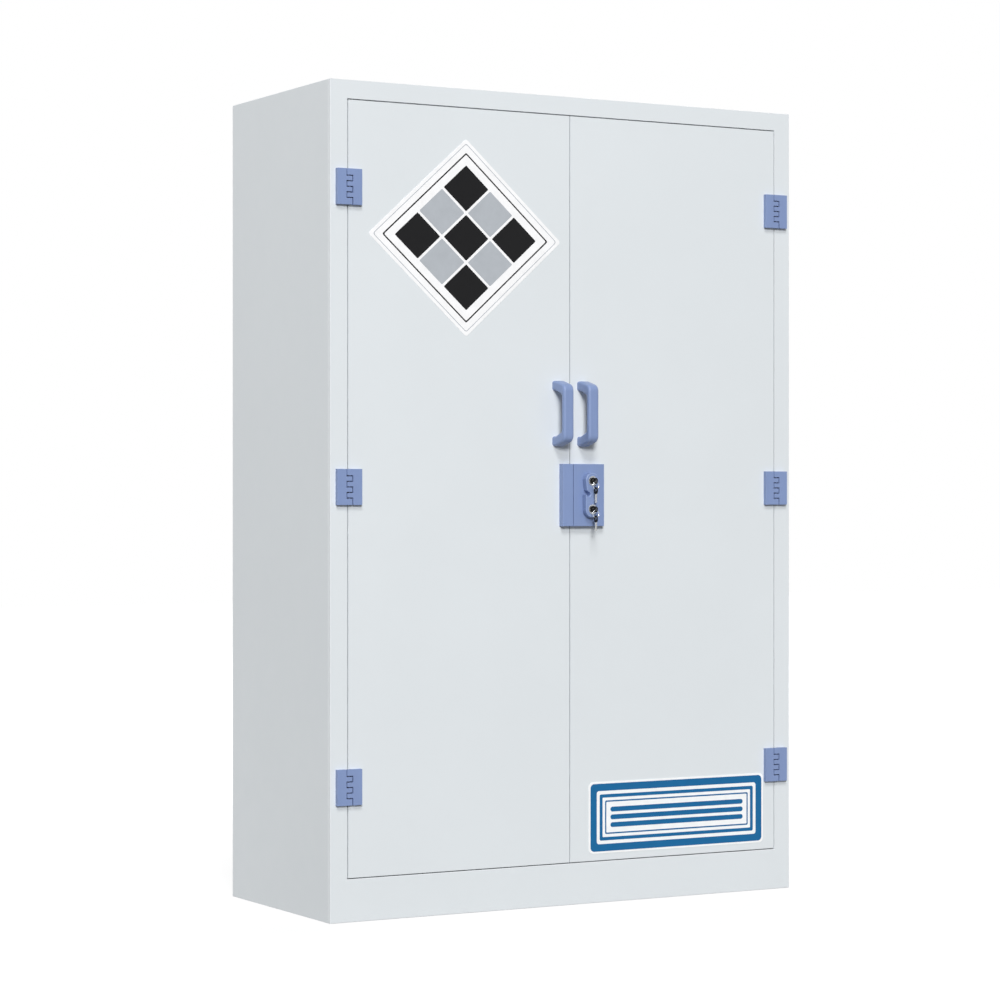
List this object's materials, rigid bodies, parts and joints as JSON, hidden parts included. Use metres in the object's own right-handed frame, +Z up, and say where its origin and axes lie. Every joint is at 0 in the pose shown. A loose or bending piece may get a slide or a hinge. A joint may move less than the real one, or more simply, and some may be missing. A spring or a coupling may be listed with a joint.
{
  "type": "acid storage cabinet",
  "caption": "Upright two-door storage cabinet for corrosive liquids: white welded plastic sheet, blue plastic hinges, pull handles and a double key lock, tray shelves inside.",
  "frame": {"origin": "floor level, under the middle of the carcass", "axes": "+Z up, the doors face -Y, +X to the right as seen from the front"},
  "size_m": [1.09, 0.5089, 1.65],
  "materials": {
    "white_sheet": "white welded polypropylene sheet",
    "inner_white": "white polypropylene sheet inside the cabinet",
    "blue_plastic": "moulded blue polypropylene",
    "white_screw": "white nylon",
    "pin_plastic": "white acetal rod",
    "chrome": "polished nickel plate",
    "plug_black": "black plug face with a brass keyway",
    "cam_steel": "zinc plated steel",
    "key_metal": "nickel silver blade with a black head",
    "ring_steel": "nickel plated wire",
    "diamond_vinyl": "printed vinyl, white and black",
    "striped_vinyl": "printed vinyl, white with blue stripes"
  },
  "bodies": {
    "cabinet": {"side_panel_left": "white_sheet", "side_panel_right": "white_sheet", "top_panel": "white_sheet", "back_panel": "white_sheet", "front_stile_left": "white_sheet", "front_stile_right": "white_sheet", "top_rail": "white_sheet", "bottom_rail": "white_sheet", "door_jamb": "inner_white", "door_stop": "inner_white", "sump_floor": "inner_white", "floor_ribs": "inner_white", "peg_strips_left": "inner_white", "peg_strips_right": "inner_white", "shelf_pegs": "white_screw", "frame_screws": "white_screw", "hinge_pins_left": "pin_plastic", "hinge_pins_right": "pin_plastic", "frame_hinge_left_top": "blue_plastic", "frame_hinge_left_middle": "blue_plastic", "frame_hinge_left_bottom": "blue_plastic", "frame_hinge_right_top": "blue_plastic", "frame_hinge_right_middle": "blue_plastic", "frame_hinge_right_bottom": "blue_plastic"},
    "left_door": {"left_door_outer_skin": "white_sheet", "left_door_core": "inner_white", "left_door_inner_skin": "inner_white", "left_door_handle": "blue_plastic", "door_hinge_left_top": "blue_plastic", "door_hinge_left_middle": "blue_plastic", "door_hinge_left_bottom": "blue_plastic", "left_door_screws": "white_screw", "strike_block": "blue_plastic", "diamond_plate": "diamond_vinyl"},
    "right_door": {"right_door_outer_skin": "white_sheet", "right_door_core": "inner_white", "right_door_inner_skin": "inner_white", "right_door_handle": "blue_plastic", "door_hinge_right_top": "blue_plastic", "door_hinge_right_middle": "blue_plastic", "door_hinge_right_bottom": "blue_plastic", "right_door_screws": "white_screw", "lock_case": "blue_plastic", "lock_boss": "blue_plastic", "upper_lock_cylinder": "chrome", "lower_lock_cylinder": "chrome", "striped_label": "striped_vinyl"},
    "upper_tray_shelf": {"upper_tray": "inner_white"},
    "lower_tray_shelf": {"lower_tray": "inner_white"},
    "upper_lock": {"upper_plug": "plug_black", "upper_cam": "cam_steel", "upper_key": "key_metal"},
    "upper_ring": {"upper_key_ring": "ring_steel"},
    "upper_spare": {"upper_spare_key": "key_metal"},
    "lower_lock": {"lower_plug": "plug_black", "lower_cam": "cam_steel", "lower_key": "key_metal"},
    "lower_ring": {"lower_key_ring": "ring_steel"},
    "lower_spare": {"lower_spare_key": "key_metal"}
  },
  "joints": [
    {"name": "left_door_swing", "type": "hinge", "parent": "cabinet", "child": "left_door", "pos_m": [-0.50625, -0.2367, 0.8525], "axis": [0, 0, -1], "range_deg": [0, 130]},
    {"name": "right_door_swing", "type": "hinge", "parent": "cabinet", "child": "right_door", "pos_m": [0.50625, -0.2367, 0.8525], "axis": [0, 0, 1], "range_deg": [0, 130]},
    {"name": "upper_tray_lift", "type": "slide", "parent": "cabinet", "child": "upper_tray_shelf", "axis": [0, 0, 1], "range_m": [0, 0.24]},
    {"name": "lower_tray_lift", "type": "slide", "parent": "cabinet", "child": "lower_tray_shelf", "axis": [0, 0, 1], "range_m": [0, 0.24]},
    {"name": "upper_lock_turn", "type": "hinge", "parent": "right_door", "child": "upper_lock", "pos_m": [0.0362, -0.262, 0.8659], "axis": [0, 1, 0], "range_deg": [0, 90]},
    {"name": "upper_ring_hang", "type": "hinge", "parent": "upper_lock", "child": "upper_ring", "pos_m": [0.0362, -0.2727, 0.8612], "axis": [0, -1, 0], "range_deg": [0, 90]},
    {"name": "upper_spare_key_swing", "type": "hinge", "parent": "upper_ring", "child": "upper_spare", "pos_m": [0.0362, -0.2727, 0.84925], "axis": [-1, 0, 0], "range_deg": [-20, 60]},
    {"name": "lower_lock_turn", "type": "hinge", "parent": "right_door", "child": "lower_lock", "pos_m": [0.0362, -0.262, 0.8081], "axis": [0, -1, 0], "range_deg": [0, 90]},
    {"name": "lower_ring_hang", "type": "hinge", "parent": "lower_lock", "child": "lower_ring", "pos_m": [0.0362, -0.2727, 0.8034], "axis": [0, 1, 0], "range_deg": [0, 90]},
    {"name": "lower_spare_key_swing", "type": "hinge", "parent": "lower_ring", "child": "lower_spare", "pos_m": [0.0362, -0.2727, 0.79145], "axis": [-1, 0, 0], "range_deg": [-20, 60]}
  ],
  "couplings": [
    {"joint": "upper_ring_hang", "follows": "upper_lock_turn", "ratio": 1},
    {"joint": "lower_ring_hang", "follows": "lower_lock_turn", "ratio": 1}
  ]
}
